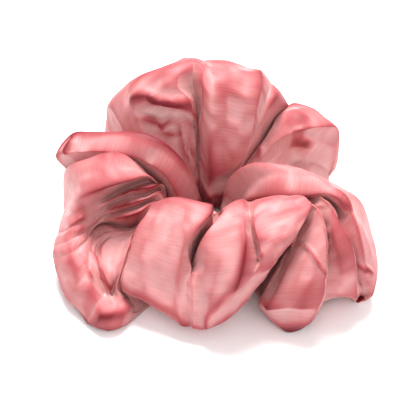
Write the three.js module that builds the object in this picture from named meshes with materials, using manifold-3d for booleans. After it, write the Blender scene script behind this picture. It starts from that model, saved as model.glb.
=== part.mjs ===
// A satin scrunchie lying on a table: a strip of satin sewn into a tube, drawn over a loop of flat
// braided elastic and closed on itself, so that it gathers into a ring of soft puffs.
// Millimetres, +Z up. The origin is on the ring's axis, on the table. +Y is the back, -Y the front.
//
// The satin tube is one piece of cloth. It is modelled as one solid for each puff between two gathers,
// and the ring parts along the plane x = 0 into a left and a right side, which move apart when the
// elastic is stretched. The tube's hollow runs through every puff as a tunnel that holds the elastic.
import * as THREE from "three";
import { ParametricGeometry } from "three/addons/geometries/ParametricGeometry.js";
import { mergeVertices } from "three/addons/utils/BufferGeometryUtils.js";
import Module from "manifold-3d";

const wasm = await Module();
wasm.setup();

// ---- driving dimensions -------------------------------------------------------------------------

const HOLE_RADIUS = 8; // the opening that the hair goes through, at its narrowest
const PUFF_GAP = 0.3; // between the solids of two neighbouring puffs
const NECK_DRAW = 5; // how far a gather pulls the outline in between two puffs
const NECK_DROP = 6; // and how far it pulls the top down
const FLOOR_SINK = 1.5; // how much of each puff's round underside the table flattens
const SECTION_POWER = 2.3; // 2 is an ellipse; more is squarer

const ELASTIC = { radius: 22, z: 8.5, height: 6, thickness: 1.2 };
const LAP = { at: 205, length: 14, ramp: 10, gap: 0.3 }; // degrees round the ring, then millimetres
const TUNNEL = { radius: 23, tube: 6 }; // the tube's hollow, round the elastic
const THREAD = 0.5; // sewing thread's diameter, drawn a little thick
const THREAD_CLEAR = 0.35; // between a thread and the cloth or elastic it lies on
const LONG_SEAM = { radius: 26.8, rise: 2.2, waves: 13, split: 0.9 };
const CLOSING_SEAM = { at: -42, reach: 0.8, proud: 2.1, stitches: 24 };

// The puffs, anticlockwise from the back. from and to are the angles of their gathers in degrees,
// reach is the outline's radius at the middle, and crown the height there.
const PUFFS = [
  { name: "puff_back_left", side: "left", from: 90, to: 138, reach: 52, crown: 50 },
  { name: "puff_left_rear", side: "left", from: 138, to: 164, reach: 59, crown: 37 },
  { name: "puff_left", side: "left", from: 164, to: 188, reach: 57.3, crown: 36 },
  { name: "puff_left_front", side: "left", from: 188, to: 234, reach: 58, crown: 31 },
  { name: "puff_front_left", side: "left", from: 234, to: 270, reach: 50.7, crown: 32 },
  { name: "puff_front_right", side: "right", from: 270, to: 292, reach: 50.5, crown: 35 },
  { name: "puff_right_petal", side: "right", from: 292, to: 318, reach: 59, crown: 36 },
  { name: "puff_right_front", side: "right", from: 318, to: 352, reach: 61.8, crown: 37 },
  { name: "puff_right", side: "right", from: 352, to: 382, reach: 55, crown: 35 },
  { name: "puff_right_rear", side: "right", from: 382, to: 412, reach: 57, crown: 32 },
  { name: "puff_back_right", side: "right", from: 412, to: 450, reach: 50.6, crown: 48 },
];

const SATIN = new THREE.MeshStandardMaterial({ color: 0xe9a3a4, roughness: 0.38, metalness: 0 });
const RUBBER_BRAID = new THREE.MeshStandardMaterial({ color: 0xf1ece6, roughness: 0.85, metalness: 0 });
const PINK_THREAD = new THREE.MeshStandardMaterial({ color: 0xd98a8e, roughness: 0.6, metalness: 0 });

// ---- solids, joined and cut ---------------------------------------------------------------------

function solidOf(geometry) {
  const bare = geometry.clone();
  bare.deleteAttribute("normal");
  bare.deleteAttribute("uv");
  const merged = mergeVertices(bare, 1e-3);
  const solid = new wasm.Manifold(
    new wasm.Mesh({
      numProp: 3,
      vertProperties: merged.attributes.position.array,
      triVerts: new Uint32Array(merged.index.array),
    }),
  );
  return solid;
}

function geometryOf(solid) {
  const { vertProperties, triVerts } = solid.getMesh();
  const geometry = new THREE.BufferGeometry();
  geometry.setAttribute("position", new THREE.BufferAttribute(vertProperties, 3));
  geometry.setIndex(new THREE.BufferAttribute(triVerts, 1));
  geometry.computeVertexNormals();
  return geometry;
}

function namedMesh(name, geometry, material) {
  const mesh = new THREE.Mesh(geometry, material);
  mesh.name = name;
  return mesh;
}

const radians = THREE.MathUtils.degToRad;

function polar(degrees, radius, z) {
  const a = radians(degrees);
  return new THREE.Vector3(radius * Math.cos(a), radius * Math.sin(a), z);
}

// ---- the satin ring -----------------------------------------------------------------------------

// The neck between two puffs is drawn in from the smaller of the two.
function neckBetween(a, b) {
  return {
    reach: Math.min(a.reach, b.reach) - NECK_DRAW,
    crown: Math.min(a.crown, b.crown) - NECK_DROP,
  };
}

// The ring's outline radius and height at an angle: the puff's own at its middle, its necks' at its ends.
function sizeAt(degrees) {
  const start = PUFFS[0].from;
  const turned = start + ((((degrees - start) % 360) + 360) % 360);
  const i = PUFFS.findIndex((p) => turned >= p.from && turned < p.to);
  const puff = PUFFS[i];
  const count = PUFFS.length;
  const t = (turned - puff.from) / (puff.to - puff.from);
  const neighbour = PUFFS[(i + (t < 0.5 ? count - 1 : 1)) % count];
  const neck = neckBetween(puff, neighbour);
  const swell = Math.sin(Math.PI * t) ** 0.75;
  return {
    reach: neck.reach + (puff.reach - neck.reach) * swell,
    crown: neck.crown + (puff.crown - neck.crown) * swell,
  };
}

const rounded = (x) => Math.sign(x) * Math.abs(x) ** (2 / SECTION_POWER);

// A point of the ring's surface: round the ring, then round the tube's section, pushed out by `proud`.
function ringPoint(degrees, sectionAngle, proud = 0) {
  const { reach, crown } = sizeAt(degrees);
  const halfWidth = (reach - HOLE_RADIUS) / 2;
  const radius = HOLE_RADIUS + halfWidth + (halfWidth + proud) * rounded(Math.cos(sectionAngle));
  const middle = crown / 2 - FLOOR_SINK / 2;
  const z = middle + (middle + FLOOR_SINK + proud) * rounded(Math.sin(sectionAngle));
  return polar(degrees, radius, z);
}

function ringSolid() {
  const around = 72;
  const acrossSection = 16;
  const surface = (u, v, target) => target.copy(ringPoint(360 * u, 2 * Math.PI * v));
  return solidOf(new ParametricGeometry(surface, around, acrossSection));
}

function tunnelSolid() {
  const tunnel = new THREE.TorusGeometry(TUNNEL.radius, TUNNEL.tube, 10, 48);
  return solidOf(tunnel.translate(0, 0, ELASTIC.z));
}

// The wedge of space that holds one puff, drawn in by half a gap on both sides.
function wedgeSolid(puff) {
  const far = 120;
  const tall = 80;
  const half = radians(puff.to - puff.from) / 2;
  const apex = PUFF_GAP / 2 / Math.sin(half);
  const outline = new THREE.Shape();
  outline.moveTo(apex, 0);
  outline.lineTo(apex + far * Math.cos(half), -far * Math.sin(half));
  outline.lineTo(apex + far * Math.cos(half), far * Math.sin(half));
  const wedge = new THREE.ExtrudeGeometry(outline, { depth: tall, bevelEnabled: false });
  return solidOf(wedge.rotateZ(radians((puff.from + puff.to) / 2)));
}

function puffMeshes(side) {
  const ring = ringSolid().subtract(tunnelSolid());
  return PUFFS.filter((puff) => puff.side === side).map((puff) =>
    namedMesh(puff.name, geometryOf(ring.intersect(wedgeSolid(puff))), SATIN),
  );
}

// ---- elastic and threads ------------------------------------------------------------------------

// The band's centre radius at an angle: its last stretch steps out to lie on its first, for the lap.
function bandRadius(degreesFromStart, rampDegrees) {
  const step = ELASTIC.thickness + LAP.gap;
  const climbed = THREE.MathUtils.smoothstep(degreesFromStart, 360 - rampDegrees, 360);
  return ELASTIC.radius + step * climbed;
}

function elasticBand() {
  const perMillimetre = 180 / Math.PI / ELASTIC.radius;
  const lapDegrees = LAP.length * perMillimetre;
  const rampDegrees = LAP.ramp * perMillimetre;
  const turn = 360 + lapDegrees;
  const steps = 96;
  const edge = (offset) =>
    Array.from({ length: steps + 1 }, (_, i) => {
      const along = (turn * i) / steps;
      const p = polar(LAP.at + along, bandRadius(along, rampDegrees) + offset, 0);
      return new THREE.Vector2(p.x, p.y);
    });
  const outline = new THREE.Shape([
    ...edge(ELASTIC.thickness / 2),
    ...edge(-ELASTIC.thickness / 2).reverse(),
  ]);
  const band = new THREE.ExtrudeGeometry(outline, { depth: ELASTIC.height, bevelEnabled: false });
  band.translate(0, 0, ELASTIC.z - ELASTIC.height / 2);
  return namedMesh("elastic_band", band, RUBBER_BRAID);
}

// A thread along a list of points.
function threadMesh(name, points, stepsPerPoint) {
  const sides = 6;
  const section = new THREE.Shape(
    Array.from({ length: sides }, (_, i) => {
      const a = (2 * Math.PI * i) / sides;
      return new THREE.Vector2((THREAD / 2) * Math.cos(a), (THREAD / 2) * Math.sin(a));
    }),
  );
  const path = new THREE.CatmullRomCurve3(points, false, "centripetal");
  const steps = (points.length - 1) * stepsPerPoint;
  const thread = new THREE.ExtrudeGeometry(section, { steps, bevelEnabled: false, extrudePath: path });
  return namedMesh(name, thread, PINK_THREAD);
}

// The zigzag that sews the elastic's lap: the needle's thread outside, the bobbin's inside.
function lapThread(name, radius) {
  const zigzags = 7;
  const margin = 2;
  const perMillimetre = 180 / Math.PI / ELASTIC.radius;
  const from = LAP.at + margin * perMillimetre;
  const to = LAP.at + (LAP.length - margin) * perMillimetre;
  const swing = ELASTIC.height / 2 - 1;
  const points = Array.from({ length: zigzags + 1 }, (_, i) =>
    polar(from + ((to - from) * i) / zigzags, radius, ELASTIC.z + (i % 2 ? swing : -swing)),
  );
  return threadMesh(name, points, 2);
}

// One thread of the long seam's lockstitch on one side of the ring, gathered with the cloth it closes.
function longSeamThread(name, side, lift) {
  const start = side === "left" ? 90 : 270;
  const marginDegrees = 2;
  const span = 180 - 2 * marginDegrees;
  const points = Array.from({ length: 2 * LONG_SEAM.waves + 1 }, (_, i) =>
    polar(
      start + marginDegrees + (span * i) / (2 * LONG_SEAM.waves),
      LONG_SEAM.radius,
      ELASTIC.z + lift + (i % 2 ? LONG_SEAM.rise : -LONG_SEAM.rise),
    ),
  );
  return threadMesh(name, points, 2);
}

// The hand stitches that close the tube's two ends, from one puff to the next over the top of the ring.
function closingSeamThread() {
  const from = radians(150);
  const to = radians(12);
  const points = Array.from({ length: CLOSING_SEAM.stitches + 1 }, (_, i) => {
    const section = from + ((to - from) * i) / CLOSING_SEAM.stitches;
    const neck = ringPoint(CLOSING_SEAM.at, section);
    const aside = (180 / Math.PI) * (CLOSING_SEAM.reach / Math.hypot(neck.x, neck.y));
    return ringPoint(CLOSING_SEAM.at + (i % 2 ? aside : -aside), section, CLOSING_SEAM.proud);
  });
  return threadMesh("closing_seam_thread", points, 2);
}

// ---- the assembly -------------------------------------------------------------------------------

const lapOutside = ELASTIC.radius + 1.5 * ELASTIC.thickness + LAP.gap + THREAD_CLEAR + THREAD / 2;
const lapInside = ELASTIC.radius - ELASTIC.thickness / 2 - THREAD_CLEAR - THREAD / 2;

const leftSide = new THREE.Group();
leftSide.add(
  ...puffMeshes("left"),
  longSeamThread("long_seam_needle_thread_left", "left", LONG_SEAM.split),
  longSeamThread("long_seam_bobbin_thread_left", "left", -LONG_SEAM.split),
);

const rightSide = new THREE.Group();
rightSide.add(
  ...puffMeshes("right"),
  longSeamThread("long_seam_needle_thread_right", "right", LONG_SEAM.split),
  longSeamThread("long_seam_bobbin_thread_right", "right", -LONG_SEAM.split),
  closingSeamThread(),
);

const elasticLoop = new THREE.Group();
elasticLoop.add(
  elasticBand(),
  lapThread("lap_needle_thread", lapOutside),
  lapThread("lap_bobbin_thread", lapInside),
);

const scrunchie = new THREE.Group();
scrunchie.name = "scrunchie";
scrunchie.add(leftSide, rightSide, elasticLoop);

export default scrunchie;
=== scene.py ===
"""A dusty pink satin scrunchie on a white table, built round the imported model.

The sleeve is drawn as folds: lines on the cloth that run from the hair opening, over the top of the
ring and down to the table. The cloth is laid between them, buckled by a cloth simulation, and creased.
"""

import math

import bpy
import numpy as np
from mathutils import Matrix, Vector


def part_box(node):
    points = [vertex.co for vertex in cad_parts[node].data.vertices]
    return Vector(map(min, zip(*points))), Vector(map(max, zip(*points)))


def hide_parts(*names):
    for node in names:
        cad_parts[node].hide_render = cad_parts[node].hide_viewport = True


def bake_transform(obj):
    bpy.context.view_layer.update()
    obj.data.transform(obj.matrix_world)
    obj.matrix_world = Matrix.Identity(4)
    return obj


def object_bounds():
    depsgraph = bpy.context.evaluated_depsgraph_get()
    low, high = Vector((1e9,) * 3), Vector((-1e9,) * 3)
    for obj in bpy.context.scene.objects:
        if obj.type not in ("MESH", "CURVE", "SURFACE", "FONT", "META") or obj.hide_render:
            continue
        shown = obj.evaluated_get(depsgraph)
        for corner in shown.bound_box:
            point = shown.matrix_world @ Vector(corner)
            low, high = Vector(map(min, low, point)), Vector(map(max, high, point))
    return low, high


MM = 0.001

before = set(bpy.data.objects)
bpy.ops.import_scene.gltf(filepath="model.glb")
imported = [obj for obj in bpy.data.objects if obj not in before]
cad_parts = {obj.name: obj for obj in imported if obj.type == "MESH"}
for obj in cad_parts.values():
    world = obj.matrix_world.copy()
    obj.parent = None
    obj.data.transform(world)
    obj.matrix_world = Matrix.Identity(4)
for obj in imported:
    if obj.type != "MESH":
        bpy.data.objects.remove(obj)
cad_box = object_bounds()

# ---- the folds ---------------------------------------------------------------------------------------
# Each has its name, how sharply the cloth turns there (0 is a soft roll, 1 a hard crease) and its points
# in mm: to the right, to the back, and up. They go round the ring anticlockwise, from the back.

FOLDS = [
    # the back puff: an upright pleat at its middle, and to its left a pocket, then a long round side
    ("back_pleat", 0.9, [(-4, 15, 12), (-4, 17, 23), (-4, 20, 34), (-3.5, 24, 45), (-3.5, 28, 49),
                         (-3, 34, 50.5), (-3, 43, 47), (-3, 50, 34), (-3, 50, 18), (-3, 45, 1)]),
    ("back_pocket", 0.9, [(-4.5, 16, 11), (-5, 20, 20), (-5, 24, 30), (-5, 28, 37), (-6.5, 31, 42),
                          (-7, 32, 46), (-6.5, 34, 49.5), (-6.5, 38, 50.5), (-6.5, 44, 47), (-6, 50, 33),
                          (-6, 50, 18), (-6, 45, 1)]),
    ("back_pocket_rim", 0.8, [(-5.5, 15, 11), (-6, 18, 20), (-6, 21, 30), (-6.5, 23, 37), (-9, 25.5, 43),
                              (-12, 27.5, 47), (-11, 32, 50), (-10, 38, 50.5), (-10, 45, 46.5),
                              (-10, 50, 33), (-10, 49, 17), (-9, 45, 1)]),
    ("back_line", 0.2, [(-6.5, 14, 11), (-8.5, 17, 20), (-10.5, 20, 29), (-12, 22, 36), (-14, 24, 42),
                        (-17, 28, 47), (-17, 37, 48.5), (-19, 49, 32), (-19, 48, 16), (-18, 44, 1)]),
    ("back_low", 0.1, [(-8, 12, 11), (-13, 15, 20), (-17, 19, 28), (-20, 23, 35), (-22.5, 26, 41),
                       (-24.5, 31, 45), (-26, 38, 44), (-29, 45, 29), (-29, 44, 12), (-27, 42, 1)]),
    ("back_side", 0, [(-9.5, 11, 10.5), (-16, 14, 20), (-23, 19, 28), (-27, 23, 35), (-29, 28, 40),
                      (-31, 36, 41), (-34, 42, 33), (-35, 43, 20), (-34, 42, 9), (-31, 39, 1)]),
    ("back_end", 0, [(-10.5, 10, 10), (-20, 14, 20), (-29, 21, 27), (-34, 27, 31), (-38, 35, 32),
                     (-40, 41, 25), (-39, 41, 12), (-36, 37, 1)]),
    ("back_foot", 1, [(-9, 9, 9), (-17, 14, 14), (-26, 20, 18), (-35, 26, 18), (-43, 31, 14), (-45, 32, 7),
                      (-43, 30, 1)]),
    # the left rear puff: one long roll that ends in a corner
    ("roll_back", 0, [(-4, 9, 10), (-7, 9, 20), (-10, 9, 27), (-16, 11, 33), (-25, 15, 35), (-35, 18, 33),
                      (-43, 21, 31), (-50, 23, 29), (-54, 21, 23), (-50, 19, 13), (-46, 18, 1)]),
    ("roll_top", 0.3, [(-5, 7, 9), (-8, 6, 19), (-12, 6, 27), (-18, 8, 32), (-26, 11, 35), (-35, 14, 34),
                       (-44, 16, 31), (-51, 18.5, 28), (-57, 18, 22), (-50, 16, 13), (-46, 15, 1)]),
    ("roll_edge", 0.9, [(-8, 4, 8), (-11, 1, 14), (-13, 1, 20), (-17, 3, 26), (-23, 6, 29), (-29, 7, 31),
                        (-37, 8, 32), (-46, 12, 29), (-55, 16, 24), (-51, 15, 13), (-46, 13, 1)]),
    ("roll_foot", 1, [(-9, 2, 7), (-14, 4, 8), (-20, 9, 12), (-28, 11, 16), (-36, 12, 21), (-45, 13, 21),
                      (-49, 14, 16), (-48, 12, 7), (-45, 9, 1)]),
    # the left puff: a peak, a crest, and stripes that run in to the opening
    ("peak", 0.7, [(-10, 1, 8), (-15, 3, 13), (-21, 8, 18), (-24, 7, 25), (-30, 7, 31.5), (-36, 5.5, 34),
                   (-43, 6, 31), (-50, 8.5, 26), (-54, 13, 18), (-54, 15, 8), (-47, 5, 1)]),
    ("crest_top", 0, [(-10, 0, 8), (-15, 1, 14), (-20, 5, 20), (-25, 4, 27), (-31, 0.5, 31.5),
                      (-36.5, -2.5, 32.5), (-42.5, -2, 30), (-48, 0, 25), (-52, 4, 17), (-54, 8, 8),
                      (-47, 1, 1)]),
    ("crest", 0.3, [(-10, -1, 8), (-15, -1, 14), (-19, 3.5, 21), (-22.5, 2, 26), (-28, -4, 29),
                    (-36, -8.5, 29.5), (-42, -9, 27.5), (-47, -7, 23), (-51, -3, 16), (-53, 1, 9),
                    (-48, -4, 1)]),
    ("valley_1", 0.8, [(-10, -2, 8), (-15, -2, 13), (-18.5, 7, 18), (-24, 5.5, 20), (-31, 1.5, 20),
                       (-37, -2, 19), (-41, -7, 21), (-45, -10.5, 22), (-50, -9, 17.5), (-53.5, -3.5, 10),
                       (-49, -7, 1)]),
    ("stripe_1", 0.3, [(-10, -3, 8), (-15, -3, 14), (-17, 4.5, 20), (-21, 0.5, 22.5), (-28, -3, 23.5),
                       (-34.5, -5, 21.5), (-38, -5.5, 19), (-42, -9, 19), (-45, -13.5, 20),
                       (-49.5, -13.5, 17), (-53.5, -9.5, 11), (-50, -9, 1)]),
    ("valley_2", 0.8, [(-10, -4, 8), (-16, -5, 14), (-17, 4.5, 18), (-23, 1.5, 18.5), (-30, -1.5, 19),
                       (-35, -3, 17.5), (-38.5, -5.5, 16), (-42, -10, 17), (-45.5, -14, 18.5),
                       (-50, -15, 16), (-54, -11.5, 10), (-51, -11, 1)]),
    ("stripe_2", 0.3, [(-10, -5, 8), (-16, -6, 14), (-18, 0, 19.5), (-23, -4, 21), (-29, -7, 21),
                       (-34, -7, 19), (-38, -6.5, 16), (-42, -12, 16), (-45, -16, 17.5), (-50, -17, 16),
                       (-54.5, -14, 10), (-51, -13, 1)]),
    ("valley_3", 0.8, [(-9, -6, 8), (-15, -8, 14), (-19.5, 0, 17), (-26, -3.5, 17), (-32, -5.5, 16.5),
                       (-38, -5.5, 13.5), (-42, -10.5, 13.5), (-44.5, -16, 15.5), (-49, -20, 15.5),
                       (-54.5, -17.5, 10), (-51, -15, 1)]),
    ("stripe_3", 0.2, [(-9, -6.5, 8), (-15, -9, 14), (-20.5, -4, 18), (-25, -9.5, 19.5), (-31, -10.5, 18),
                       (-38, -6.5, 13), (-42, -11, 12.5), (-43.5, -17, 14.5), (-48, -23, 15.5),
                       (-54.5, -20, 10), (-51, -17, 1)]),
    ("gap", 1, [(-9, -7, 8), (-15, -10, 12), (-22, -4, 11), (-29, -7, 10), (-37, -4.5, 9.5),
                (-41.5, -7, 10), (-42.5, -14, 12.5), (-44, -19.5, 14), (-47.5, -25, 15), (-54, -22, 9),
                (-51, -19, 1)]),
    # the left front puff: a rim that sweeps round a pocket
    ("rim_left", 0, [(-9, -7.5, 8), (-15, -11, 12), (-22, -6, 11.5), (-30, -8.5, 11), (-38, -6.5, 10.5),
                     (-41, -10, 11), (-42, -17.5, 13), (-43.5, -23, 14.5), (-47, -28, 14.5), (-53, -25, 8),
                     (-50, -23, 1)]),
    ("rim_low", 0, [(-9, -8, 8), (-15, -12, 13), (-22, -8, 12), (-30, -9.5, 11.5), (-37, -8.5, 11),
                    (-40.5, -12, 11), (-41.5, -20, 12.5), (-42.5, -28, 14), (-46, -31.5, 12.5),
                    (-51.5, -29, 6), (-48, -29, 1)]),
    ("rim_corner", 0, [(-8.5, -8, 8), (-14, -13, 14), (-22, -9.5, 13), (-30, -10.5, 12), (-36, -9.5, 11),
                       (-40, -13.5, 11), (-41, -22.5, 12), (-41.5, -31, 12.5), (-44.5, -35.5, 10),
                       (-48.5, -35, 4.5), (-44, -37, 0.5)]),
    ("pocket_lip", 0, [(-8.5, -8.5, 8), (-14, -13.5, 14), (-22, -10.5, 13.5), (-29.5, -11.5, 12.5),
                       (-35.5, -11, 11), (-39.5, -15, 11), (-40, -24, 11.5), (-39.5, -32, 11.5),
                       (-40, -38, 10.5), (-42.5, -40.5, 6), (-41, -43, 0.5)]),
    ("pocket_crease", 1, [(-8, -8.5, 8), (-14, -14, 14), (-22, -11.5, 14), (-29, -12, 12),
                          (-35, -12, 10.5), (-38.5, -15, 9.5), (-39.5, -21, 9.5), (-38.5, -27, 9),
                          (-37, -32, 7.5), (-36, -34, 5), (-37, -40, 8), (-39, -43, 5.5), (-40.5, -44, 1.5),
                          (-37, -43, 0.5)]),
    ("pocket_ridge", 0.3, [(-8, -9, 8), (-14, -14.5, 14), (-22.5, -12, 14), (-29, -12.5, 12),
                           (-34, -13, 10.5), (-37, -16, 10.5), (-37.5, -22, 10.5), (-36.5, -28, 10),
                           (-35, -32, 7.5), (-35, -33, 4), (-34, -40, 7.5), (-36, -45.5, 7.5),
                           (-37.5, -46, 2), (-34, -44, 0.5)]),
    ("pocket_floor", 0.2, [(-8, -9.5, 8), (-13, -14, 14), (-23, -12.5, 14), (-28, -13, 12),
                           (-32, -13.5, 10.5), (-34, -17, 10), (-34.5, -22, 10), (-34.5, -28, 9),
                           (-34, -31.5, 6), (-34, -32, 2.5), (-32, -41, 7.5), (-32.5, -46, 7.5),
                           (-34, -46.5, 1.5), (-31, -45, 0.5)]),
    ("pocket_slope", 0.3, [(-8, -10, 8), (-13, -13.5, 15), (-23, -13.5, 15), (-27.5, -14, 12.5),
                           (-29.5, -15.5, 11.5), (-31, -20, 11), (-32, -26, 10.5), (-32.5, -30, 8.5),
                           (-33, -31.5, 4), (-30.5, -40, 7.5), (-29, -44.5, 7), (-29.5, -45.5, 2.5),
                           (-28, -43, 0.5)]),
    ("pocket_right", 0.9, [(-8, -10, 8.5), (-13, -13, 15), (-23, -13.5, 16), (-27, -15.5, 15),
                           (-28, -20, 14.5), (-29, -25.5, 14), (-30, -30, 12.5), (-31, -33, 10.5),
                           (-31.5, -34.5, 7.5), (-28.5, -38.5, 7.5), (-27, -41.5, 6), (-27, -42.5, 2.5),
                           (-25, -40, 0.5)]),
    ("pocket_groove", 1, [(-8, -10.5, 8), (-13, -12.5, 14), (-23, -11, 15), (-26, -13.5, 13),
                          (-27.5, -18.5, 12.5), (-28.5, -24, 12), (-29.5, -29, 11), (-30.5, -32.5, 9),
                          (-30, -33, 5.5), (-28, -35, 4), (-26, -37.5, 3), (-25.5, -39, 1.5),
                          (-21, -35, 0.5)]),
    # the front left puff: a broad flat side that turns under along a straight edge
    ("front_corner", 0.9, [(-8, -10, 9), (-12, -12, 18), (-19, -14, 28), (-22, -18.5, 26.5),
                           (-25, -23, 24.5), (-27, -29, 20), (-28.5, -33, 16.5), (-29.5, -37, 12),
                           (-29, -36.5, 9), (-27.5, -35, 5.5), (-23, -33, 1)]),
    ("front_side", 0.1, [(-8, -10, 10), (-12, -11, 19), (-16.5, -15, 30), (-18.5, -21, 28.5),
                         (-21, -26, 25.5), (-23, -31, 21.5), (-25, -35, 16.5), (-26.5, -38.5, 11.5),
                         (-26, -37, 7), (-20, -33, 1)]),
    ("front_left", 0, [(-7, -10, 10), (-11, -11, 20), (-14, -15.5, 31.5), (-15.5, -21.5, 29.5),
                       (-17.5, -28, 25.5), (-19.5, -33, 21), (-21.5, -38, 15), (-22.5, -41, 10.5),
                       (-22, -38, 6), (-16, -34, 1)]),
    ("front_middle", 0, [(-7, -10, 11), (-10, -11, 21), (-11, -16, 32), (-12, -22.5, 30.5),
                         (-13.5, -29.5, 26.5), (-15, -35.5, 20.5), (-16.5, -40, 14), (-17.5, -43.5, 9),
                         (-16.5, -40, 4), (-12, -35, 1)]),
    ("front_flat", 0, [(-6, -10, 11), (-8, -11, 22), (-7.5, -17, 32), (-8.5, -23.5, 31.5),
                       (-10, -31, 27), (-11, -37, 21), (-12, -42, 14), (-12, -46.5, 8), (-12, -44, 4),
                       (-9, -37, 1)]),
    ("front_fall", 0, [(-5, -10, 11), (-6, -11, 21), (-4.5, -17.5, 31.5), (-5.5, -24, 31.5),
                       (-8, -30, 28.5), (-9.5, -34.5, 24), (-10, -38, 19.5), (-10.5, -42, 14),
                       (-10, -48, 7), (-9.5, -46, 4), (-7, -38, 1)]),
    ("front_curl", 0.8, [(-4, -10, 11), (-2, -11, 20), (0, -19, 31.5), (0, -23, 31.5), (-3, -27, 30.5),
                         (-6, -30, 28), (-7.5, -32, 25), (-7.5, -34, 22), (-7, -36, 19), (-8, -39, 16.5),
                         (-8, -44, 12), (-7.5, -48.5, 6.5), (-7.5, -46, 4), (-6, -38, 1)]),
    ("curl_foot", 1, [(-3, -10, 10), (-2, -11, 17), (0.5, -8, 19), (0, -14, 18), (-3, -18, 17),
                      (-6, -22, 15), (-7, -26, 12), (-7, -29, 11), (-7, -32, 13), (-7, -37, 17.5),
                      (-7, -43, 14), (-7, -48.5, 7), (-6.5, -46, 4), (-4, -38, 1)]),
    # the front right puff: a flap with one tuck, turned under along its lower edge
    ("middle_edge", 0.9, [(-1, -10, 10), (2, -11, 19), (4, -20, 29), (1, -25.5, 30), (-2, -30, 29.5),
                          (-4, -33, 27), (-4, -35, 24), (-4, -36.5, 21), (-5, -38.5, 19),
                          (-6, -43, 15.5), (-6, -47, 11), (-6, -49.5, 6), (-5, -46, 4), (-2, -38, 1)]),
    ("middle", 0.1, [(0, -10, 10), (2, -11, 20), (3.5, -20, 30), (1, -27, 30.5), (-1, -32.5, 29.5),
                     (-2, -38, 25.5), (-3, -42, 20), (-3.5, -45.5, 14), (-3.5, -49.5, 6.5), (-3, -47, 4),
                     (-1, -38, 1)]),
    ("flap_left", 0, [(1, -10, 10), (3, -11, 20), (6, -18, 31), (4.5, -26.5, 32), (3.5, -33, 31.5),
                      (2, -40, 27.5), (0.5, -44.5, 22), (-1, -48, 16), (-2, -50.5, 10), (-1.5, -49.5, 6),
                      (1, -38, 1)]),
    ("flap_fall", 0, [(2, -10, 10), (5, -11, 20), (8, -17.5, 32), (7.5, -26, 33.5), (7, -34, 33),
                      (6, -41, 29), (4.5, -45.5, 24.5), (2.5, -49, 18.5), (1.5, -49.5, 15), (0.5, -49, 9),
                      (1, -47.5, 5), (2, -37, 1)]),
    ("flap_apex", 0.2, [(3, -10, 10), (7, -11, 20), (10, -17.5, 32.5), (10, -25, 34), (10, -33, 34.5),
                        (10, -40, 33), (9, -45.5, 29), (7.5, -48.5, 24), (6.5, -48, 20), (5, -47, 13),
                        (4.5, -47, 7), (5, -35, 1)]),
    ("flap_crease", 1, [(4, -9, 10), (9, -11, 20), (11.5, -17, 31), (12, -24, 32), (12, -29.5, 32),
                        (13, -34.5, 30.5), (14, -37, 28.5), (14, -40, 27), (12.5, -44, 25), (11, -44, 21),
                        (9, -44, 15), (8, -45, 9), (7, -33, 1)]),
    ("flap_tuck", 0.9, [(5, -9, 10), (10, -10, 20), (13, -19, 33), (13, -26.5, 34.5), (13, -32, 34.5),
                        (14, -37, 33), (15, -40, 30), (15, -42, 28), (14.5, -43, 25.5), (13, -42.5, 22),
                        (12, -42.5, 17), (11.5, -43, 12), (11, -35, 6), (9, -31, 1)]),
    ("flap_right", 0.1, [(5, -8, 10), (11, -10, 21), (15.5, -19, 34), (16.5, -26, 35.5), (17.5, -31, 34.5),
                         (18.5, -36.5, 32), (18.5, -40, 28.5), (18, -41.5, 25.5), (17, -40.5, 22),
                         (16, -39.5, 17), (13, -32, 8), (11, -28, 1)]),
    ("flap_top", 0.1, [(6, -7, 10), (12, -9, 21), (20.5, -17.5, 34), (21.5, -25, 36), (22.5, -30, 34.5),
                       (22.5, -34.5, 32.5), (21.5, -38, 29), (20, -39.5, 26.5), (19.5, -38, 23.5),
                       (19, -28, 13), (14, -24, 2)]),
    ("flap_tip", 0.3, [(7, -6, 10), (13, -8, 21), (25, -17.5, 34), (27, -23.5, 36), (27.5, -28, 35),
                       (26.5, -32, 32.5), (24, -35.5, 29.5), (23.5, -34, 27), (24, -25, 18), (17, -20, 3)]),
    ("flap_up", 0.9, [(7, -5, 10), (14, -6, 20), (27.5, -16, 33), (31, -21.5, 35.5), (31.5, -24, 35.5),
                      (30, -27.5, 34.5), (27, -32, 32), (26.5, -31, 29.5), (26, -22, 22), (20, -17, 5)]),
    # the right petals: two leaves of cloth under the flap
    ("leaf_foot", 1, [(7, -4.5, 10), (14, -6, 16), (22, -11, 21), (29, -20, 27.5), (28, -25.5, 26),
                      (24.5, -31.5, 20), (20, -36, 15), (16.5, -40, 11.5), (15, -41, 8), (17, -38, 1)]),
    ("leaf_left", 0.1, [(8, -4, 10), (15, -5, 16), (23, -11, 22), (30.5, -22, 30), (30, -27.5, 28.5),
                        (26.5, -34, 24), (22.5, -39.5, 19), (19, -44, 13.5), (17.5, -45.5, 10.5),
                        (18.5, -44, 8), (20, -45, 4), (23, -45.5, 0.5)]),
    ("leaf", 0, [(8, -3, 10), (16, -4, 16), (25, -11, 24), (31.5, -22, 32), (32, -28.5, 31.5),
                 (30.5, -35, 28), (27.5, -40.5, 23), (25, -45, 17.5), (24, -46.5, 12.5), (24, -45, 10),
                 (23.5, -46.5, 4), (25.5, -46.5, 0.5)]),
    ("leaf_low", 0, [(9, -2.5, 10), (17, -4, 17), (26, -11, 25), (32, -22, 33), (33.5, -29.5, 32.5),
                     (33.5, -36, 29.5), (32, -41.5, 25), (29.5, -46, 19.5), (28.5, -48, 14),
                     (28.5, -46.5, 10.5), (28, -47, 4), (28.5, -45.5, 0.5)]),
    ("leaf_edge", 0.9, [(9, -2, 10), (17, -3, 17), (26, -11, 26), (32.5, -22.5, 34), (34.5, -29.5, 33.5),
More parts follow.
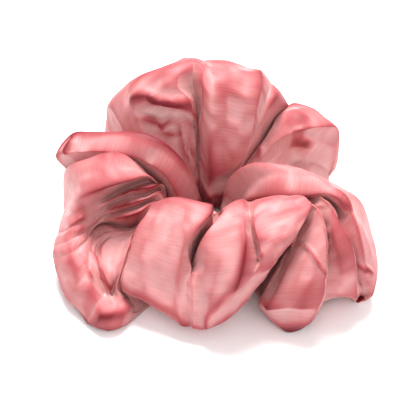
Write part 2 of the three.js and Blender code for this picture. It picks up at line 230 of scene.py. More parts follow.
                        (35.5, -35.5, 31), (35.5, -40, 27), (35, -44, 22.5), (34.5, -46.5, 17.5),
                        (33, -47, 11), (31.5, -46, 4), (31, -43.5, 0.5)]),
    ("petal_foot", 1, [(9, -1, 10), (18, -2, 16), (27, -10, 25), (33.5, -19, 31), (36, -26, 30),
                       (36.5, -33, 27), (36.5, -38, 22), (36, -41, 17), (36.5, -40, 9), (36, -35.5, 1)]),
    ("petal", 0.1, [(9, 0, 10), (18, -1, 16), (28, -9, 27), (35.5, -21, 33), (37, -28, 33.5),
                    (37.5, -33, 32), (39.5, -38, 27.5), (40.5, -40, 22), (41.5, -40.5, 14),
                    (42.5, -39, 9), (43.5, -31, 2)]),
    ("petal_edge", 0.9, [(9, 1, 10), (19, 0, 18), (30, -9, 30), (36, -20, 34.5), (38.5, -27, 35.5),
                         (41, -32, 33), (43.5, -35, 29.5), (45, -38, 24), (46, -39.5, 17), (47, -40, 10),
                         (47.5, -37, 5), (48, -33.5, 1)]),
    ("right_foot", 1, [(9, 2, 10), (19, 1, 16), (30, -6, 25), (38, -15, 28), (40.5, -21, 28),
                       (42, -26.5, 27), (44.5, -30, 24), (46, -33, 20), (47.5, -34.5, 14), (49.5, -33, 6),
                       (50, -31.5, 1)]),
    # the right puff: a roll that sweeps round to the front
    ("right_front", 0, [(9, 3, 11), (13, -4, 20), (20, -12, 28), (28, -16, 32), (38, -18, 35),
                        (43, -22, 33.5), (46, -26.5, 30), (48, -31, 25), (49.5, -34, 19), (51, -35.5, 11),
                        (51.5, -32, 1)]),
    ("right_crown", 0, [(9, 4, 11), (12, 1, 21), (19, -4, 31), (28, -9, 35), (37, -13, 36), (45, -18, 31),
                        (51, -24, 23), (54, -31, 14), (53, -35, 6), (49, -34, 1)]),
    ("right_back", 0, [(5, 6, 13), (6, 6, 20), (9, 5, 26), (15, 3, 31), (24, -2, 34), (33, -7, 35),
                       (40, -11, 33), (49, -11, 27), (53, -16, 20), (55, -25, 13), (54, -29, 6),
                       (50, -28, 1)]),
    ("right_side", 0, [(4, 8, 10), (7, 8, 17), (12, 7, 23), (18, 5, 26), (26, 3, 28), (34, -1, 29),
                       (42, -5, 27), (49, -7, 21), (53, -10, 13), (52, -12, 6), (48, -12, 1)]),
    ("rear_foot", 1, [(6, 8, 9), (11, 10, 13), (18, 10, 14), (27, 8, 13), (35, 6, 12), (41, 4, 9),
                      (44, 2, 5), (42, 1, 1)]),
    # the right rear puff: two flat sides that meet in a ridge
    ("rear_low", 0.3, [(7, 9, 9), (13, 13, 14), (20, 16, 17), (28, 19, 18), (35, 22, 17), (42, 25, 12),
                       (45, 26, 6), (42, 25, 1)]),
    ("rear_hollow", 0.5, [(7, 9.5, 9), (13, 15, 15), (20, 19, 18), (27, 21, 23), (33, 23, 25), (40, 26, 23),
                          (46, 28, 18), (47, 28, 10), (43, 26, 1)]),
    ("rear_ridge", 0.9, [(7, 10, 9), (13, 16, 16), (20, 21, 22), (27, 23, 28), (33, 24, 29.5),
                         (41, 27, 29), (47, 30, 26), (48.5, 30, 18), (48, 29, 8), (44, 28, 1)]),
    ("rear_facet", 0, [(7, 10.5, 9), (13, 18, 17), (20, 23, 24), (27, 27, 30), (34, 29, 31), (41, 31, 30),
                       (46, 33, 25), (47, 33, 14), (42, 31, 1)]),
    ("rear_top", 0.5, [(7, 11, 9), (13, 18.5, 17), (20, 26, 25), (27, 34, 31), (34, 35, 32), (40, 35, 30),
                       (43, 36, 21), (43, 35, 10), (40, 33, 1)]),
    ("rear_back", 0.1, [(6, 11, 9), (13, 19, 18), (20, 26, 25), (26, 35, 30), (31, 39, 31), (36, 40, 26),
                        (37, 40, 16), (36, 37, 1)]),
    ("rear_end", 1, [(6, 11.5, 9), (12, 19, 16), (18, 26, 20), (24, 33, 24), (29, 38, 24), (32, 40, 17),
                     (32, 39, 8), (30, 36, 1)]),
    # the back puff again: its right end, then the flat side of the upright pleat
    ("back_right", 0.7, [(6, 12, 12), (12, 19, 22), (18, 26, 28), (24, 32, 32), (29, 37, 31), (30, 41, 22),
                         (29, 42, 10), (27, 39, 1)]),
    ("back_right_top", 0, [(6, 12.5, 12), (12, 17, 22), (17, 24, 31), (23, 31, 38), (26, 38, 36),
                           (27, 43, 27), (27, 44, 14), (25, 41, 1)]),
    ("flat_foot", 1, [(5, 11, 9), (10, 15, 19), (14, 19, 26), (17, 25, 33), (20, 32, 39), (22, 39, 40),
                      (22, 44, 33), (22, 46, 22), (22, 44, 10), (20, 42, 1)]),
    ("flat_right", 0.8, [(5, 12, 9), (9, 15, 14), (12, 17, 22.5), (14, 19, 30), (16, 24, 38), (18, 31, 44),
                         (18, 38, 46), (18, 43, 41), (18, 47, 27), (18, 46, 12), (16, 43, 1)]),
    ("back_flat_low", 0, [(3, 12, 8), (5, 15, 13), (8, 14.5, 21), (9, 16, 28), (11, 21, 37), (12, 28, 44.5),
                          (13, 36, 47), (13, 44, 43), (13, 48, 30), (13, 48, 15), (12, 44, 1)]),
    ("back_flat", 0, [(1, 12, 8), (2, 14, 13), (4, 12.5, 20.5), (4, 15, 30), (5, 20, 39), (5, 27, 47),
                      (6, 36, 49), (6, 44, 46), (6, 49, 33), (6, 49, 17), (6, 45, 1)]),
    ("flat_left", 0, [(-1, 11, 8), (-1, 12.5, 12), (-0.5, 11.5, 19), (-0.5, 14, 28), (0, 19, 37.5),
                      (0, 26, 46), (0.5, 35, 49.7), (1, 44, 46.5), (1, 50, 33), (1, 50, 17), (1, 45, 1)]),
]

# ---- the creases -------------------------------------------------------------------------------------
# Each has how deep it is pressed into the cloth (below 0 it is a ridge), how far it reaches to the side
# and its points, all in mm.

CLOSING_SEAM = (1.1, 0.6, [(25, -31, 25), (28.5, -33, 27.5), (30.5, -36, 27.5), (32, -39, 27),
                           (33.5, -41.5, 25.5), (35.5, -43.5, 23)])
CREASES = [
    # the back puff: a band pressed in across it, and a star of short creases under that
    (2.4, 2.6, [(-31, 27.5, 41), (-24, 26, 43), (-19, 24, 42), (-12, 24, 41), (-7, 25, 40)]),
    (-1.2, 1.8, [(-28, 25, 38), (-21, 23.5, 38), (-15, 21.5, 39), (-10, 22, 38)]),
    (2.2, 1.5, [(-25, 24, 35.5), (-20, 22.5, 34.5), (-17, 22, 34), (-14, 21, 37)]),
    (1.6, 1.4, [(-19.5, 20, 32.5), (-15, 20, 31), (-11.5, 20, 31.5)]),
    (-1.3, 1.1, [(-15, 21, 38), (-10, 22, 38), (-6.5, 22.5, 34), (-5.5, 21, 28)]),
    (1.7, 1.1, [(-12.5, 21, 36.5), (-11, 19, 31), (-10, 18, 24), (-8, 16, 20), (-6.5, 15.5, 15)]),
    (1.3, 0.9, [(-9, 21.5, 33), (-7.5, 18.5, 25.5), (-6, 16.5, 17)]),
    # the left puffs
    (2, 1.6, [(-49.5, 21, 29), (-50.5, 17.5, 28.5), (-53, 15.5, 25)]),
    (1.0, 1.2, [(-42, -19.5, 13.5), (-39.5, -24, 11), (-37.5, -31, 8.5)]),
    (0.8, 0.9, [(-42, -29, 13.5), (-40.5, -31.5, 12.5), (-39.5, -33.5, 11)]),
    # the front puffs
    (0.8, 0.8, [(14, -39, 27), (15, -40.5, 29.5), (15.5, -39.5, 30.5)]),
    CLOSING_SEAM,
    # the right puffs
    (1.2, 2, [(39.5, -15, 35), (42.5, -18.5, 33.5), (44, -23.5, 32)]),
    (1.2, 1, [(46.5, -35, 20), (49, -34, 17.5), (52.5, -33.5, 13.5)]),
    (1.0, 1.3, [(48.5, -35, 10.5), (50, -33, 6), (50.5, -32.5, 2)]),
    # the right rear puff
    (2.5, 4, [(28.5, 22.5, 26), (33, 23, 25), (38, 24.5, 20)]),
    (1.2, 1, [(18, 23.5, 23), (18, 21.5, 21.5), (16.5, 19.5, 19.5)]),
    (1.5, 5, [(31, 34, 32), (32, 29.5, 31), (32.5, 25, 30)]),
]

# ---- the cloth, laid between the folds ---------------------------------------------------------------

FLATNESS = 0.8  # how straight the cloth runs between soft folds: 1 is a full round, 0 is flat
TABLE_GAP = 0.2  # mm; the lowest that the cloth lies
UNDERSIDE = 1.2  # mm; how high the cloth's underside runs
CURVE_STEPS = 24  # between two points of a curve, before it is divided evenly

# Two grids of the same cloth: mm between rows at their widest, and points over and under the tube.
COARSE = {"step": 3, "over": 40, "under": 10}
FINE = {"step": 0.95, "over": 104, "under": 22}


def spline_samples(points, count):
    """Points evenly spaced along a smooth curve through the given ones."""
    p = np.array(points, float)
    p = np.vstack([2 * p[0] - p[1], p, 2 * p[-1] - p[-2]])
    t = np.linspace(0, 1, CURVE_STEPS, endpoint=False)[:, None]
    pieces = []
    for a, b, c, d in zip(p[:-3], p[1:-2], p[2:-1], p[3:]):
        bend = (2 * a - 5 * b + 4 * c - d) * t**2 + (3 * b - a - 3 * c + d) * t**3
        pieces.append(b + 0.5 * ((c - a) * t + bend))
    fine = np.vstack(pieces + [p[-2][None]])
    along = path_length(fine)
    at = np.linspace(0, along[-1], count)
    return np.stack([np.interp(at, along, fine[:, k]) for k in range(3)], axis=1)


def path_length(points):
    """How far along a path each of its points lies."""
    return np.concatenate([[0], np.cumsum(np.linalg.norm(np.diff(points, axis=0), axis=1))])


def fold_loop(points, over, under):
    """A fold's closed line: over the top as drawn, then back to the opening along the table."""
    top = spline_samples(points, over)
    first, last = top[0], top[-1]
    opening = np.array([first[0] * 1.15, first[1] * 1.15, 1.5])
    bottom = np.array([last, 0.75 * last + 0.25 * opening, 0.4 * last + 0.6 * opening, opening, first])
    bottom[1:3, 2] = UNDERSIDE
    return np.vstack([top, spline_samples(bottom, under + 2)[1:-1]])


def row_places(step):
    """How far along each row lies: whole numbers are the folds, and the parts between them are even."""
    loops = np.array([fold_loop(points, COARSE["over"], COARSE["under"]) for _, _, points in FOLDS])
    gaps = np.linalg.norm(np.roll(loops, -1, axis=0) - loops, axis=2).max(axis=1)
    counts = np.maximum(2, np.round(gaps / step)).astype(int)
    return np.concatenate([i + np.arange(count) / count for i, count in enumerate(counts)])


def column_places(over, under):
    """How far round the tube each point lies: 0 to 1 over the top, 1 to 2 back along the table."""
    return np.concatenate([np.linspace(0, 1, over), 1 + np.arange(1, under + 1) / (under + 1)])


def cloth_grid(step, over, under):
    """The sleeve's points: rows that run round the tube, side by side along the ring."""
    loops = np.array([fold_loop(points, over, under) for _, _, points in FOLDS])
    sharp = np.array([s for _, s, _ in FOLDS])
    slope = 0.5 * (np.roll(loops, -1, axis=0) - np.roll(loops, 1, axis=0))
    slope *= FLATNESS * (1 - sharp)[:, None, None]
    rows = []
    for place in row_places(step):
        i = int(place)
        j = (i + 1) % len(loops)
        t = place - i
        drawn = (2 * t**3 - 3 * t**2 + 1) * loops[i] + (3 * t**2 - 2 * t**3) * loops[j]
        rows.append(drawn + (t**3 - 2 * t**2 + t) * slope[i] + (t**3 - t**2) * slope[j])
    grid = np.array(rows)
    grid[..., 2] = np.maximum(grid[..., 2], TABLE_GAP)
    return grid


def between(at, places, values, period):
    """Values known at some places round a closed line, read smoothly at others (along axis 0)."""
    gap = np.diff(np.append(places, places[0] + period)).reshape((-1,) + (1,) * (values.ndim - 1))
    step = (np.roll(values, -1, axis=0) - values) / gap
    before = np.roll(gap, 1, axis=0)
    tangent = (np.roll(step, 1, axis=0) * gap + step * before) / (gap + before)
    i = np.searchsorted(places, at, side="right") - 1
    j = (i + 1) % len(places)
    t = (at - places[i]).reshape(gap[i].shape) / gap[i]
    blend = (2 * t**3 - 3 * t**2 + 1) * values[i] + (3 * t**2 - 2 * t**3) * values[j]
    return blend + gap[i] * ((t**3 - 2 * t**2 + t) * tangent[i] + (t**3 - t**2) * tangent[j])


def mesh_object(name, points, faces):
    """A smooth-shaded mesh, in the scene."""
    mesh = bpy.data.meshes.new(name)
    mesh.from_pydata(points.tolist(), [], faces.tolist())
    mesh.polygons.foreach_set("use_smooth", [True] * len(mesh.polygons))
    piece = bpy.data.objects.new(name, mesh)
    bpy.context.scene.collection.objects.link(piece)
    return piece


def grid_faces(rows, columns, closed_rows, closed_columns):
    """The faces of a grid of points, which may close on itself either way."""
    index = np.arange(rows * columns).reshape(rows, columns)
    right = np.roll(index, -1, axis=0)
    faces = np.stack([index, right, np.roll(right, -1, axis=1), np.roll(index, -1, axis=1)], axis=-1)
    faces = faces[: rows if closed_rows else rows - 1, : columns if closed_columns else columns - 1]
    return faces.reshape(-1, 4)


# ---- the cloth's own buckling ------------------------------------------------------------------------

SOLVER_SCALE = 0.1  # the solver is at its best with cloth of metres, so 1 mm is 0.1 m there
GROWTH = 0.01  # the share by which the cloth is too large for its folds, which makes it buckle
FRAMES = 20
SPREAD = 0.03  # mm that points are set apart for the solver, so that no two of them meet
HOLD = (0.05, 0.9)  # how firmly the cloth is held between folds, and at a hard crease
HOLD_SOFT = 0.3  # the share of that which a soft fold gets
HOLD_REACH = 0.2  # of the way to the next fold


def buckled(grid, hold):
    """The grid after a cloth simulation in which it grows a little, and each row is held by its weight."""
    rows, columns = grid.shape[:2]
    spread = SPREAD * np.sin(np.arange(grid.size) * 2.4).reshape(grid.shape)
    points = ((grid + spread) * SOLVER_SCALE).reshape(-1, 3)
    piece = mesh_object("buckling_cloth", points, grid_faces(rows, columns, True, True))
    group = piece.vertex_groups.new(name="hold")
    for row, weight in enumerate(hold):
        group.add(range(row * columns, (row + 1) * columns), weight, "REPLACE")
    cloth = piece.modifiers.new("cloth", "CLOTH")
    s = cloth.settings
    s.quality = 5
    s.mass = 0.1
    s.tension_stiffness = s.compression_stiffness = 20
    s.shear_stiffness = 10
    s.bending_stiffness = 2
    s.tension_damping = s.compression_damping = s.shear_damping = 5
    s.bending_damping = 0.5
    s.air_damping = 2
    s.shrink_min = -GROWTH
    s.vertex_group_mass = "hold"
    s.pin_stiffness = 10
    s.use_pressure = True
    s.uniform_pressure_force = 0.05
    s.effector_weights.gravity = 0
    cloth.collision_settings.use_collision = False
    cloth.collision_settings.use_self_collision = False
    cloth.point_cache.frame_start = 1
    cloth.point_cache.frame_end = FRAMES
    for number in range(1, FRAMES + 1):
        bpy.context.scene.frame_set(number)
    shown = piece.evaluated_get(bpy.context.evaluated_depsgraph_get()).data
    points = np.zeros(grid.size)
    shown.vertices.foreach_get("co", points)
    bpy.context.scene.frame_set(1)
    bpy.data.objects.remove(piece)
    return points.reshape(grid.shape) / SOLVER_SCALE - spread


def buckling():
    """How far each point of the fine grid moves as the cloth buckles, worked out on a coarse one."""
    drawn = cloth_grid(**COARSE)
    places = row_places(COARSE["step"])
    fold = np.round(places).astype(int)
    sharp = np.array([s for _, s, _ in FOLDS])[fold % len(FOLDS)]
    at_fold = np.maximum(1 - np.abs(places - fold) / HOLD_REACH, 0)
    hold = HOLD[0] + (HOLD[1] - HOLD[0]) * at_fold * (HOLD_SOFT + (1 - HOLD_SOFT) * sharp)
    moved = buckled(drawn, hold) - drawn
    moved = between(row_places(FINE["step"]), places, moved, len(FOLDS))
    around = column_places(COARSE["over"], COARSE["under"])
    fine_around = column_places(FINE["over"], FINE["under"])
    return between(fine_around, around, moved.swapaxes(0, 1), 2).swapaxes(0, 1)


# ---- pressed creases ---------------------------------------------------------------------------------

CREASE_STEPS = 60
HOLLOW_PASSES = 24  # of smoothing, for the cloth that a hollow is measured from


def facing(grid):
    """The cloth's outward direction at each point."""
    along = np.roll(grid, -1, axis=0) - np.roll(grid, 1, axis=0)
    across = np.roll(grid, -1, axis=1) - np.roll(grid, 1, axis=1)
    n = np.cross(along, across)
    return n / np.maximum(np.linalg.norm(n, axis=2, keepdims=True), 1e-9)


def pressed(grid, depth, width, points):
    """The grid with a groove pressed into it along a line. It fades out towards both ends."""
    line = spline_samples(points, CREASE_STEPS)
    flat = grid.reshape(-1, 3)
    near = ((flat > line.min(axis=0) - 4 * width) & (flat < line.max(axis=0) + 4 * width)).all(axis=1)
    normal = facing(grid).reshape(-1, 3)[near]
    apart = flat[near][:, None] - line[None]
    closest = (apart**2).sum(axis=2).argmin(axis=1)
    apart = apart[np.arange(len(apart)), closest]
    height = (apart * normal).sum(axis=1)
    side = np.sqrt(np.maximum((apart**2).sum(axis=1) - height**2, 0)) / width
    fade = np.sin(np.pi * np.clip(closest / (CREASE_STEPS - 1), 0, 1)) ** 0.6
    fade *= np.exp(-((height / (width + 2.5)) ** 4))
    groove = (1 - 0.7 * side**2) * np.exp(-(side**2) / 1.3)
    moved = flat.copy()
    moved[near] -= normal * (depth * fade * groove)[:, None]
    return moved.reshape(grid.shape)


def hollowness(grid):
    """How far each point lies under the cloth round it, in mm: above 0 in a crease, below 0 on a ridge."""
    soft = grid.copy()
    for _ in range(HOLLOW_PASSES):
        soft = 0.5 * soft + 0.25 * (np.roll(soft, 1, axis=0) + np.roll(soft, -1, axis=0))
        soft = 0.5 * soft + 0.25 * (np.roll(soft, 1, axis=1) + np.roll(soft, -1, axis=1))
    return ((soft - grid) * facing(grid)).sum(axis=2)


# ---- the sleeve --------------------------------------------------------------------------------------

SEAM_ALLOWANCE = (1.5, 3.0)  # mm that the strip's long edges stand up inside the tube, past the stitches
SEAM_GAP = 0.3  # mm from the middle of the seam to each edge


def cut_open(grid, seam):
    """The closed tube as the flat strip that it was sewn from: it ends on both sides at the long seam."""
    strip = np.concatenate([np.roll(grid, -seam, axis=1), grid[:, seam : seam + 1]], axis=1)
    side = strip[:, 1] - strip[:, 0]
    side[:, 2] = 0
    side *= SEAM_GAP / np.maximum(np.linalg.norm(side, axis=1, keepdims=True), 1e-9)
    strip[:, 0] += side
    strip[:, -1] -= side
    up = [np.array([0, 0, height]) for height in SEAM_ALLOWANCE]
    first = [strip[:, 0] + u for u in reversed(up)]
    last = [strip[:, -1] + u for u in up]
    return np.stack(first + list(strip.swapaxes(0, 1)) + last, axis=1)


def strip_values(values, seam):
    """The closed tube's values in the order of the strip that cut_open makes."""
    around = np.roll(np.arange(values.shape[1]), -seam)
    return values[:, np.concatenate([[seam] * len(SEAM_ALLOWANCE), around, [seam] * 3])]


grid = cloth_grid(**FINE) + buckling()
for depth, width, points in CREASES:
    grid = pressed(grid, depth, width, points)
grid[..., 2] = np.maximum(grid[..., 2], TABLE_GAP)

# The drawing is brought to the CAD model's width, and to its place on the table.
low, high = grid.min(axis=(0, 1)), grid.max(axis=(0, 1))
cad_low, cad_high = np.array(cad_box[0]), np.array(cad_box[1])
fit = (cad_high[0] - cad_low[0]) / (high[0] - low[0])
shift = 0.5 * (cad_low + cad_high) - 0.5 * fit * (low + high)
shift[2] = cad_low[2]


def fitted(points):
    """Drawn points, in mm, as points of the row frame, in metres."""
    return np.array(points, float) * fit + shift


seam_column = FINE["over"] + FINE["under"] // 2
strip = cut_open(grid, seam_column)
rows, columns = strip.shape[:2]
strip_faces = grid_faces(rows, columns, True, False)
sleeve = mesh_object("satin_sleeve", fitted(strip).reshape(-1, 3), strip_faces)

# how hollow the cloth lies at each point, which the satin turns into painted shade in the creases and a
# painted highlight on the ridges
hollow = sleeve.data.attributes.new("hollow", "FLOAT", "POINT")
hollow.data.foreach_set("value", strip_values(hollowness(grid), seam_column).ravel())

# The weave's own directions, in mm: u runs along the strip, round the ring, and v across it.
row_length = np.linalg.norm(np.roll(grid, -1, axis=0) - grid, axis=2).mean(axis=1)
column_length = np.linalg.norm(np.diff(strip, axis=1), axis=2).mean(axis=0)
u = np.concatenate([[0], np.cumsum(row_length)])
v = np.concatenate([[0], np.cumsum(column_length)])
uv = sleeve.data.uv_layers.new(name="weave")
i, j = np.meshgrid(np.arange(rows), np.arange(columns - 1), indexing="ij")
corners = [(i, j), (i + 1, j), (i + 1, j + 1), (i, j + 1)]
places = np.stack([np.stack([u[a], v[b]], axis=-1) for a, b in corners], axis=2)
uv.data.foreach_set("uv", places.ravel())


# ---- threads -----------------------------------------------------------------------------------------

THREAD = 0.4 * MM  # the sewing thread's diameter
STITCH = 2.5  # mm, of the long seam
STITCH_STEPS = 6  # points to a stitch


def tube(name, path, diameter, closed=False, sides=6):
    """A thread along a path."""
    path = np.array(path, float)
    ahead = np.roll(path, -1, axis=0) - np.roll(path, 1, axis=0)
    if not closed:
        ahead[0], ahead[-1] = path[1] - path[0], path[-1] - path[-2]
    ahead /= np.maximum(np.linalg.norm(ahead, axis=1, keepdims=True), 1e-12)
    side = np.cross(ahead, (0, 0, 1))
    side /= np.maximum(np.linalg.norm(side, axis=1, keepdims=True), 1e-12)
    up = np.cross(side, ahead)
    rings = []
    for k in range(sides):
        angle = 2 * math.pi * k / sides
        rings.append(path + 0.5 * diameter * (math.cos(angle) * side + math.sin(angle) * up))
    points = np.stack(rings, axis=1)
    return mesh_object(name, points.reshape(-1, 3), grid_faces(len(path), sides, closed, True))


def smoothed_path(path, passes):
    """A closed path with its small bends evened out."""
    for _ in range(passes):
        path = 0.5 * path + 0.25 * (np.roll(path, 1, axis=0) + np.roll(path, -1, axis=0))
    return path


def long_seam_thread(name, side_of_seam):
    """One of the lockstitch's threads: it runs along its side of the seam and dips in at each stitch."""
    path = smoothed_path(0.5 * (strip[:, len(SEAM_ALLOWANCE)] + strip[:, -1 - len(SEAM_ALLOWANCE)]), 4)
    closed = np.vstack([path, path[:1]])
    along = path_length(closed)
    stitches = round(along[-1] / STITCH)
    at = np.linspace(0, along[-1], STITCH_STEPS * stitches, endpoint=False)
    path = np.stack([np.interp(at, along, closed[:, k]) for k in range(3)], axis=1)
    ahead = np.roll(path, -1, axis=0) - np.roll(path, 1, axis=0)
    side = np.cross(ahead, (0, 0, 1))
    side /= np.maximum(np.linalg.norm(side, axis=1, keepdims=True), 1e-9)
    out = SEAM_GAP + 0.3 - 0.3 * np.cos(2 * math.pi * stitches * at / along[-1])
    path = path + side_of_seam * out[:, None] * side
    path[:, 2] += SEAM_ALLOWANCE[0]
    return tube(name, fitted(path), THREAD, closed=True)


def closing_seam_thread():
    """The thread that closes the tube's two ends, halfway between the seam's line and the cloth."""
    line = spline_samples(CLOSING_SEAM[2], 8 * len(CLOSING_SEAM[2]))
    flat = grid.reshape(-1, 3)
    nearest = [int(((flat - p) ** 2).sum(axis=1).argmin()) for p in line]
    on_cloth = flat[nearest] + 0.1 * facing(grid).reshape(-1, 3)[nearest]
    path = spline_samples(0.5 * (on_cloth + line), 4 * len(line))
    return tube("closing_seam_stitches", fitted(path), 0.6 * THREAD)


# ---- the elastic -------------------------------------------------------------------------------------

band_low, band_high = (np.array(corner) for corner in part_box("elastic_band"))
BAND_THICKNESS = 1.2 * MM
BAND_RIBS = 9
BAND_STEPS = (420, 64)  # points along the band, and round it
LAP_AT = math.radians(205)  # round the ring, where the band starts
LAP_LENGTH = 14 * MM
LAP_RAMP = 10 * MM
LAP_GAP = 0.3 * MM
ZIGZAGS = 7
ZIGZAG_STEPS = 8
band_height = band_high[2] - band_low[2]
band_z = 0.5 * (band_low[2] + band_high[2])
band_radius = band_high[1] - 0.5 * BAND_THICKNESS


def band_point(angle, out, up):
    """A point of the elastic at an angle past its start, so far out from its middle and so far up."""
    climbed = np.clip((angle * band_radius - (2 * math.pi * band_radius - LAP_RAMP)) / LAP_RAMP, 0, 1)
    step = (BAND_THICKNESS + LAP_GAP) * climbed**2 * (3 - 2 * climbed)
    r = band_radius + step + out
    return np.stack([r * np.cos(LAP_AT + angle), r * np.sin(LAP_AT + angle), band_z + up + 0 * angle], -1)


def braided_elastic():
    """A flat braid of ribs, sewn into a loop with its ends lapped."""
    end = 2 * math.pi + LAP_LENGTH / band_radius
    angle = np.linspace(0, end, BAND_STEPS[0])[:, None]
    around = np.linspace(0, 2 * math.pi, BAND_STEPS[1], endpoint=False)[None]
    up = 0.5 * band_height * np.cos(around)
    rib = np.abs(np.cos(math.pi * BAND_RIBS * up / band_height))
    plait = np.cos(angle * band_radius / (0.45 * MM) + 3 * up / MM)
    edge = np.sqrt(np.clip(1 - np.abs(np.cos(around)) ** 8, 0, 1)) * np.sign(np.sin(around) + 1e-9)
    thick = 0.5 * BAND_THICKNESS * (0.84 + 0.1 * rib + 0.06 * plait * rib)
    points = band_point(angle + 0 * around, edge * thick, up + 0 * angle)
    return mesh_object("braided_elastic", points.reshape(-1, 3), grid_faces(*BAND_STEPS, False, True))


def lap_thread(name, out):
    """The zigzag through the lap."""
    margin = 2 * MM / band_radius
    steps = np.arange(ZIGZAG_STEPS * ZIGZAGS + 1)
    angle = np.linspace(margin, LAP_LENGTH / band_radius - margin, len(steps))
    to_and_fro = np.arcsin(np.cos(math.pi * steps / ZIGZAG_STEPS))
    swing = (0.5 * band_height - MM) * 2 / math.pi * to_and_fro
    return tube(name, band_point(angle, out, swing), THREAD)


# ---- materials ---------------------------------------------------------------------------------------

RIB_SCALE = 0.45  # a rib every 0.7 mm


def new_material(name):
    """A node material, its nodes and its links."""
    m = bpy.data.materials.new(name)
    m.use_nodes = True
    return m, m.node_tree.nodes, m.node_tree.links


def ramp(nodes, *stops):
    """A colour ramp with these (position, colour) stops."""
    r = nodes.new("ShaderNodeValToRGB")
    elements = r.color_ramp.elements
    elements[0].position, elements[0].color = stops[0][0], (*stops[0][1], 1)
    elements[1].position, elements[1].color = stops[-1][0], (*stops[-1][1], 1)
    for position, colour in stops[1:-1]:
        elements.new(position).color = (*colour, 1)
    return r


def satin():
    """Polyester satin with a fine weave; deep red painted shade in its creases and a pale painted highlight
    on its ridges.
    """
    m, nodes, links = new_material("satin")
    shader = nodes["Principled BSDF"]
    shader.inputs["IOR"].default_value = 1.45
    shader.inputs["Anisotropic"].default_value = 0.5
    shader.inputs["Sheen Weight"].default_value = 0.12
    shader.inputs["Sheen Roughness"].default_value = 0.45
    shader.inputs["Sheen Tint"].default_value = (1, 0.85, 0.84, 1)
    shader.inputs["Subsurface Weight"].default_value = 0.3
    shader.inputs["Subsurface Radius"].default_value = (1, 0.25, 0.2)
    shader.inputs["Subsurface Scale"].default_value = 0.003

    # colour: painted shade in the hollows, rising to a painted highlight on the ridges, with a soft
    # unevenness in the dye
    hollow = nodes.new("ShaderNodeAttribute")
    hollow.attribute_name = "hollow"
    uneven = nodes.new("ShaderNodeTexNoise")
    uneven.inputs["Scale"].default_value = 45
    uneven.inputs["Detail"].default_value = 3
    place = nodes.new("ShaderNodeTexCoord")
    links.new(place.outputs["Object"], uneven.inputs["Vector"])
    depth = nodes.new("ShaderNodeMapRange")
    depth.inputs["From Min"].default_value = 1.6
    depth.inputs["From Max"].default_value = -1.2
    links.new(hollow.outputs["Fac"], depth.inputs["Value"])
    # the dye's soft unevenness, added to painted shade and highlight read from how hollow the cloth lies
    dye = nodes.new("ShaderNodeMath")
    dye.operation = "MULTIPLY_ADD"
    dye.inputs[1].default_value = 0.16
    links.new(uneven.outputs["Fac"], dye.inputs[0])
    shifted = nodes.new("ShaderNodeMath")
    shifted.operation = "ADD"
    shifted.inputs[1].default_value = -0.08
    links.new(depth.outputs["Result"], shifted.inputs[0])
    links.new(shifted.outputs["Value"], dye.inputs[2])
    # the ramp runs from dark red painted shade in the deepest creases to a pale painted highlight on the
    # ridges
    colour = ramp(
        nodes,
        (0.0, (0.20, 0.012, 0.022)),
        (0.3, (0.42, 0.11, 0.12)),
        (0.5, (0.55, 0.26, 0.26)),
        (0.75, (0.60, 0.335, 0.33)),
        (1.0, (0.70, 0.46, 0.44)),
    )
    links.new(dye.outputs["Value"], colour.inputs["Fac"])

    # weave: ribs across the strip, and long floating threads that vary in shine
    weave = nodes.new("ShaderNodeUVMap")
    weave.uv_map = "weave"
    ribs = nodes.new("ShaderNodeTexWave")
    ribs.bands_direction = "Y"
    ribs.inputs["Scale"].default_value = RIB_SCALE
    ribs.inputs["Distortion"].default_value = 0.6
    ribs.inputs["Detail Scale"].default_value = 0.3
    links.new(weave.outputs["UV"], ribs.inputs["Vector"])
    stretch = nodes.new("ShaderNodeMapping")
    stretch.inputs["Scale"].default_value = (0.12, 2.2, 1)
    links.new(weave.outputs["UV"], stretch.inputs["Vector"])
    floats = nodes.new("ShaderNodeTexNoise")
    floats.inputs["Scale"].default_value = 1
    floats.inputs["Detail"].default_value = 4
    links.new(stretch.outputs["Vector"], floats.inputs["Vector"])
    mixed = nodes.new("ShaderNodeMix")
    mixed.data_type = "RGBA"
    mixed.blend_type = "OVERLAY"
    mixed.inputs["Factor"].default_value = 0.22
    links.new(colour.outputs["Color"], mixed.inputs["A"])
    links.new(floats.outputs["Fac"], mixed.inputs["B"])
    links.new(mixed.outputs["Result"], shader.inputs["Base Color"])
    shine = nodes.new("ShaderNodeMapRange")
    shine.inputs["To Min"].default_value = 0.44
    shine.inputs["To Max"].default_value = 0.60
    links.new(floats.outputs["Fac"], shine.inputs["Value"])
    links.new(shine.outputs["Result"], shader.inputs["Roughness"])
    relief = nodes.new("ShaderNodeMath")
    relief.operation = "MULTIPLY_ADD"
    relief.inputs[1].default_value = 0.5
    links.new(ribs.outputs["Fac"], relief.inputs[0])
    links.new(floats.outputs["Fac"], relief.inputs[2])
    bump = nodes.new("ShaderNodeBump")
    bump.inputs["Strength"].default_value = 0.35
    bump.inputs["Distance"].default_value = 0.00012
    links.new(relief.outputs["Value"], bump.inputs["Height"])
    links.new(bump.outputs["Normal"], shader.inputs["Normal"])
    tangent = nodes.new("ShaderNodeTangent")
    tangent.direction_type = "UV_MAP"
    tangent.uv_map = "weave"
    links.new(tangent.outputs["Tangent"], shader.inputs["Tangent"])
    return m


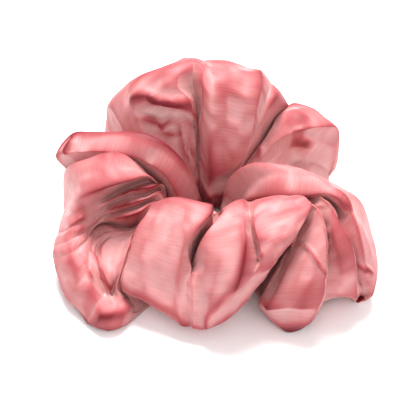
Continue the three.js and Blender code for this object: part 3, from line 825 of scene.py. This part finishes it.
def fibre(name, dark, light, scale, roughness):
    """A plaited or twisted fibre: fine slanting strands, darker between them."""
    m, nodes, links = new_material(name)
    shader = nodes["Principled BSDF"]
    shader.inputs["Roughness"].default_value = roughness
    shader.inputs["Sheen Weight"].default_value = 0.125
    place = nodes.new("ShaderNodeTexCoord")
    strands = nodes.new("ShaderNodeTexWave")
    strands.bands_direction = "DIAGONAL"
    strands.inputs["Scale"].default_value = scale
    strands.inputs["Distortion"].default_value = 1.5
    links.new(place.outputs["Object"], strands.inputs["Vector"])
    colour = ramp(nodes, (0.0, dark), (1.0, light))
    links.new(strands.outputs["Fac"], colour.inputs["Fac"])
    links.new(colour.outputs["Color"], shader.inputs["Base Color"])
    bump = nodes.new("ShaderNodeBump")
    bump.inputs["Strength"].default_value = 0.5
    bump.inputs["Distance"].default_value = 0.0001
    links.new(strands.outputs["Fac"], bump.inputs["Height"])
    links.new(bump.outputs["Normal"], shader.inputs["Normal"])
    return m


# ---- the pieces --------------------------------------------------------------------------------------


def placed(piece, material, slot, *nodes):
    """A piece with its material, in place of its CAD nodes."""
    piece.data.materials.append(material)
    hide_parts(*nodes)
    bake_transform(piece)


sewing_thread = fibre("sewing_thread", (0.36, 0.07, 0.08), (0.62, 0.22, 0.23), 900, 0.5)
plaited_rubber = fibre("plaited_rubber", (0.62, 0.58, 0.52), (0.85, 0.82, 0.77), 500, 0.85)
needle_out = 1.5 * BAND_THICKNESS + LAP_GAP + THREAD
bobbin_out = -0.5 * BAND_THICKNESS - THREAD
placed(sleeve, satin(), "satin", *[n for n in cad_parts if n.startswith("puff_")])
placed(braided_elastic(), plaited_rubber, "elastic", "elastic_band")
placed(lap_thread("lap_needle_stitches", needle_out), sewing_thread, "thread", "lap_needle_thread")
placed(lap_thread("lap_bobbin_stitches", bobbin_out), sewing_thread, "thread", "lap_bobbin_thread")
for kind, side_of_seam in (("needle", 1), ("bobbin", -1)):
    stitches = long_seam_thread(f"long_seam_{kind}_stitches", side_of_seam)
    cad_threads = [f"long_seam_{kind}_thread_{side}" for side in ("left", "right")]
    placed(stitches, sewing_thread, "thread", *cad_threads)
placed(closing_seam_thread(), sewing_thread, "thread", "closing_seam_thread")

# ---- camera, lights, table ---------------------------------------------------------------------------

CAMERA_ELEVATION = math.radians(42)
CAMERA_DISTANCE = 300  # mm in the drawing, from the point it looks at
CAMERA_TARGET = (-1.4, 0, 13)  # mm in the drawing
SEEN_WIDTH = 148.6  # mm that the view spans at the target


def look_at(obj, target):
    """Turns a camera or light to face a point."""
    obj.rotation_euler = (Vector(target) - obj.location).to_track_quat("-Z", "Y").to_euler()


target = Vector(fitted(CAMERA_TARGET))
distance = CAMERA_DISTANCE * float(fit)
camera = bpy.data.objects.new("camera", bpy.data.cameras.new("camera"))
bpy.context.scene.collection.objects.link(camera)
outward = Vector((0, -math.cos(CAMERA_ELEVATION), math.sin(CAMERA_ELEVATION)))
camera.location = target + distance * outward
look_at(camera, target)
camera.data.sensor_width = 36
camera.data.lens = camera.data.sensor_width * CAMERA_DISTANCE / SEEN_WIDTH
camera.data.clip_start = 0.01
bpy.context.scene.camera = camera

bpy.ops.mesh.primitive_plane_add(size=4)
floor = bpy.context.object
floor.name = "floor"
white_table, table_nodes, _ = new_material("white_table")
table_nodes["Principled BSDF"].inputs["Base Color"].default_value = (0.98, 0.98, 0.98, 1)
floor.data.materials.append(white_table)


def area_light(name, location, size, watts):
    """A round soft light that faces the middle of the table."""
    light = bpy.data.objects.new(name, bpy.data.lights.new(name, "AREA"))
    bpy.context.scene.collection.objects.link(light)
    light.data.shape = "DISK"
    light.data.size = size
    light.data.energy = watts
    light.location = location
    look_at(light, (0, 0, 0))


area_light("main_light", (0, 0.29, 0.62), 0.36, 7)
area_light("fill_light", (0.12, -0.42, 0.34), 0.5, 0.9)
world = bpy.data.worlds.new("studio")
bpy.context.scene.world = world
world.use_nodes = True
world.node_tree.nodes["Background"].inputs["Color"].default_value = (1, 1, 1, 1)
world.node_tree.nodes["Background"].inputs["Strength"].default_value = 0.84
bpy.context.scene.view_settings.view_transform = "Standard"
bpy.context.scene.view_settings.exposure = 0.05
bpy.context.scene.view_settings.gamma = 0.82
